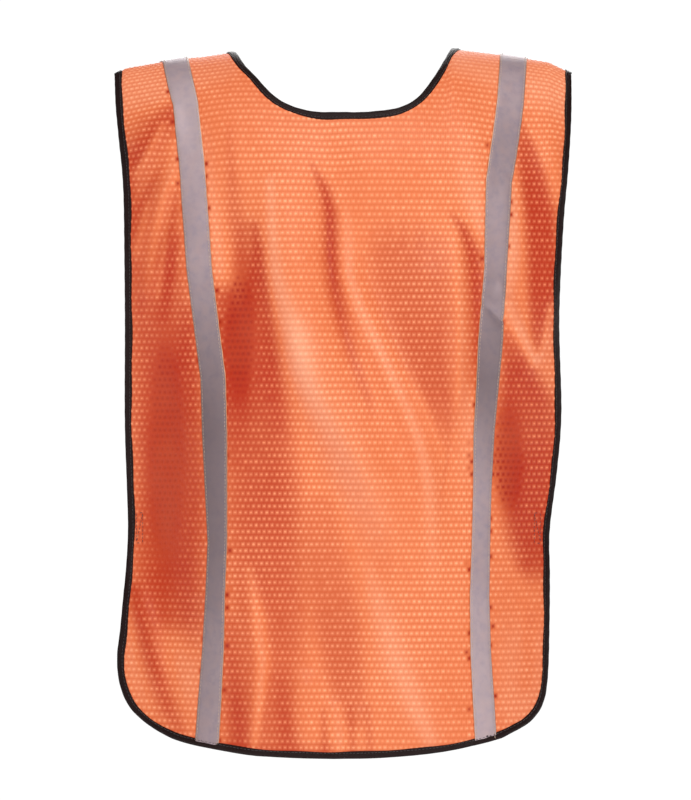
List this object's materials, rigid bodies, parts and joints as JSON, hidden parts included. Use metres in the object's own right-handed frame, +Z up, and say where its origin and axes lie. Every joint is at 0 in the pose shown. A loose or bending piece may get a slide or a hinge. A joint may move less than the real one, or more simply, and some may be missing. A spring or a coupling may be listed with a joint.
{
  "type": "high visibility vest",
  "caption": "Lightweight open-sided mesh safety vest with reflective tapes, black edge binding, elastic side straps and a hook and loop front.",
  "frame": {"origin": "on the line through the neck ends of the two shoulder seams, midway between them, where the vest rests on its wearer", "axes": "+X towards the wearer's right, +Y forward out of the chest, +Z up"},
  "size_m": [0.4224, 0.2745, 0.6487],
  "materials": {
    "mesh_cloth": "knitted polyester mesh with small slit holes in staggered rows",
    "reflective_tape": "silver-grey glass-bead reflective tape on woven backing",
    "edge_binding": "black woven polyester binding with a low sheen",
    "seam_tape": "black woven tape over the seam allowance",
    "elastic": "black ribbed woven elastic",
    "thread": "polyester sewing thread",
    "hook_tape": "black nylon hooks on woven tape",
    "loop_tape": "black brushed nylon loops",
    "label_cloth": "blank white satin label"
  },
  "bodies": {
    "back": {"back_panel": "mesh_cloth", "front_yoke_left": "mesh_cloth", "front_yoke_right": "mesh_cloth", "shoulder_seam_left": "seam_tape", "shoulder_seam_right": "seam_tape", "tape_back_left": "reflective_tape", "tape_back_right": "reflective_tape", "tape_yoke_left": "reflective_tape", "tape_yoke_right": "reflective_tape", "binding_back_edge": "edge_binding", "binding_back_neck": "edge_binding", "binding_yoke_left": "edge_binding", "binding_yoke_right": "edge_binding", "strap_left": "elastic", "strap_right": "elastic", "tape_stitching_back": "thread", "strap_stitching_back": "thread", "binding_stitching_back": "thread"},
    "front_left": {"front_panel_left": "mesh_cloth", "tape_front_left": "reflective_tape", "binding_front_left": "edge_binding", "hook_strips": "hook_tape", "strap_end_left": "elastic", "stitching_front_left": "thread"},
    "front_right": {"front_panel_right": "mesh_cloth", "tape_front_right": "reflective_tape", "binding_front_right": "edge_binding", "loop_strips": "loop_tape", "strap_end_right": "elastic", "stitching_front_right": "thread"},
    "label": {"care_label": "label_cloth"}
  },
  "joints": [
    {"name": "front_left_swing", "type": "hinge", "parent": "back", "child": "front_left", "pos_m": [-0.203, 0.02, -0.438], "axis": [0, 0, 1], "range_deg": [-16, 100]},
    {"name": "front_right_swing", "type": "hinge", "parent": "back", "child": "front_right", "pos_m": [0.203, 0.02, -0.438], "axis": [0, 0, -1], "range_deg": [-16, 100]},
    {"name": "label_flap", "type": "hinge", "parent": "back", "child": "label", "pos_m": [0, -0.0927, -0.064], "axis": [1, 0, 0], "range_deg": [0, 120]}
  ]
}
